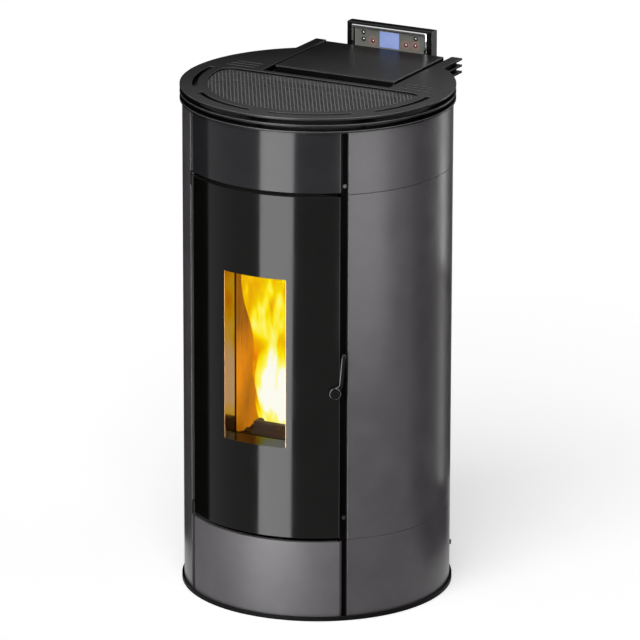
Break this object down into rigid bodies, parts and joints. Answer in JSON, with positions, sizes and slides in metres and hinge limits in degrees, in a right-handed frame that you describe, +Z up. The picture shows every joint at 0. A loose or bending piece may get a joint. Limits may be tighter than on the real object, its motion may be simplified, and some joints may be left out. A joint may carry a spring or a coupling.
{
  "type": "pellet stove",
  "caption": "Round free-standing pellet stove with a curved glazed door, curved steel panels, layered slotted top, hopper lid and pop-up control display.",
  "frame": {"origin": "on the stove's upright axis, level with the flat underside of the base plate", "axes": "+Z up, the door faces -Y, +X to the right of someone facing the door"},
  "size_m": [0.54, 0.605, 1.064],
  "materials": {
    "panel_paint": "satin",
    "front_paint": "semi-gloss",
    "door_gloss": "gloss",
    "top_paint": "fine matt texture",
    "frame_black": "matt",
    "casing_grey": "matt",
    "zinc_sheet": "zinc plated",
    "firebox_steel": "heat-proof matt",
    "cast": "as cast",
    "machine_steel": "brushed",
    "heat_glass": "ceramic glass",
    "rope_seal": "woven glass rope",
    "display_plastic": "gloss",
    "bezel_chrome": "polished",
    "screen": "lit liquid crystal",
    "black_plastic": "matt",
    "board": "lacquered"
  },
  "bodies": {
    "stove": {"air_intake_pipe": "zinc_sheet", "ash_pan": "firebox_steel", "auger_gearmotor": "machine_steel", "auger_tube": "zinc_sheet", "base_plate": "frame_black", "burn_pot": "cast", "burn_pot_cradle": "cast", "control_board": "board", "cover_screws": "zinc_sheet", "display_guide": "frame_black", "door_hinges": "frame_black", "exhaust_fan_housing": "cast", "exhaust_fan_motor": "machine_steel", "firebox": "firebox_steel", "firebox_liner": "cast", "flame_baffle": "cast", "flue_outlet": "firebox_steel", "frame_posts": "frame_black", "front_bottom_panel": "panel_paint", "front_top_panel": "front_paint", "hopper": "zinc_sheet", "igniter": "zinc_sheet", "latch_keeper": "zinc_sheet", "levelling_feet": "zinc_sheet", "lid_hinge": "frame_black", "partition_panel": "zinc_sheet", "pellet_chute": "zinc_sheet", "power_inlet": "black_plastic", "rear_panel": "casing_grey", "room_fan_housing": "zinc_sheet", "side_panel_left_lower": "panel_paint", "side_panel_left_middle": "panel_paint", "side_panel_left_upper": "panel_paint", "side_panel_right_lower": "panel_paint", "side_panel_right_middle": "panel_paint", "side_panel_right_upper": "panel_paint", "top_grille": "top_paint", "top_plate_lower": "top_paint", "top_plate_middle": "top_paint", "top_plate_upper": "top_paint", "top_spacers": "top_paint"},
    "door": {"door_frame": "frame_black", "door_front": "door_gloss", "door_glass": "heat_glass", "door_gasket": "rope_seal"},
    "handle": {"door_handle": "frame_black"},
    "lid": {"hopper_lid": "top_paint"},
    "display": {"display_housing": "display_plastic", "display_bezel": "bezel_chrome", "display_screen": "screen"},
    "auger": {"auger_screw": "machine_steel"},
    "exhaust_wheel": {"exhaust_impeller": "machine_steel"},
    "room_fan_wheel": {"room_fan_impeller": "machine_steel"},
    "rocker": {"power_switch": "black_plastic"},
    "key_1": {"button_1": "bezel_chrome"},
    "key_2": {"button_2": "bezel_chrome"},
    "key_3": {"button_3": "bezel_chrome"},
    "key_4": {"button_4": "bezel_chrome"},
    "key_5": {"button_5": "bezel_chrome"},
    "key_6": {"button_6": "bezel_chrome"}
  },
  "joints": [
    {"name": "door_hinge", "type": "hinge", "parent": "stove", "child": "door", "pos_m": [-0.16559, -0.20303, 0.516], "axis": [0, 0, -1], "range_deg": [0, 110]},
    {"name": "handle_turn", "type": "hinge", "parent": "door", "child": "handle", "pos_m": [0.15351, -0.21601, 0.468], "axis": [-0.5793, 0.8151, 0], "range_deg": [0, 80]},
    {"name": "lid_swing", "type": "hinge", "parent": "stove", "child": "lid", "pos_m": [0, 0.285, 1.012], "axis": [-1, 0, 0], "range_deg": [0, 80]},
    {"name": "display_slide", "type": "slide", "parent": "stove", "child": "display", "axis": [0, 0, -1], "range_m": [0, 0.046]},
    {"name": "auger_turn", "type": "hinge", "parent": "stove", "child": "auger", "pos_m": [0, 0.197, 0.43], "axis": [0, -0.53, 0.848], "continuous": true},
    {"name": "exhaust_spin", "type": "hinge", "parent": "stove", "child": "exhaust_wheel", "pos_m": [-0.068, 0.13, 0.25], "axis": [1, 0, 0], "continuous": true},
    {"name": "room_fan_spin", "type": "hinge", "parent": "stove", "child": "room_fan_wheel", "pos_m": [0.072, 0.122, 0.112], "axis": [1, 0, 0], "continuous": true},
    {"name": "switch_rock", "type": "hinge", "parent": "stove", "child": "rocker", "pos_m": [0.108, 0.289, 0.092], "axis": [-1, 0, 0], "range_deg": [0, 16]},
    {"name": "key_1_press", "type": "slide", "parent": "display", "child": "key_1", "axis": [0, 1, 0], "range_m": [0, 0.001], "stiffness_N_per_m": 300},
    {"name": "key_2_press", "type": "slide", "parent": "display", "child": "key_2", "axis": [0, 1, 0], "range_m": [0, 0.001], "stiffness_N_per_m": 300},
    {"name": "key_3_press", "type": "slide", "parent": "display", "child": "key_3", "axis": [0, 1, 0], "range_m": [0, 0.001], "stiffness_N_per_m": 300},
    {"name": "key_4_press", "type": "slide", "parent": "display", "child": "key_4", "axis": [0, 1, 0], "range_m": [0, 0.001], "stiffness_N_per_m": 300},
    {"name": "key_5_press", "type": "slide", "parent": "display", "child": "key_5", "axis": [0, 1, 0], "range_m": [0, 0.001], "stiffness_N_per_m": 300},
    {"name": "key_6_press", "type": "slide", "parent": "display", "child": "key_6", "axis": [0, 1, 0], "range_m": [0, 0.001], "stiffness_N_per_m": 300}
  ]
}
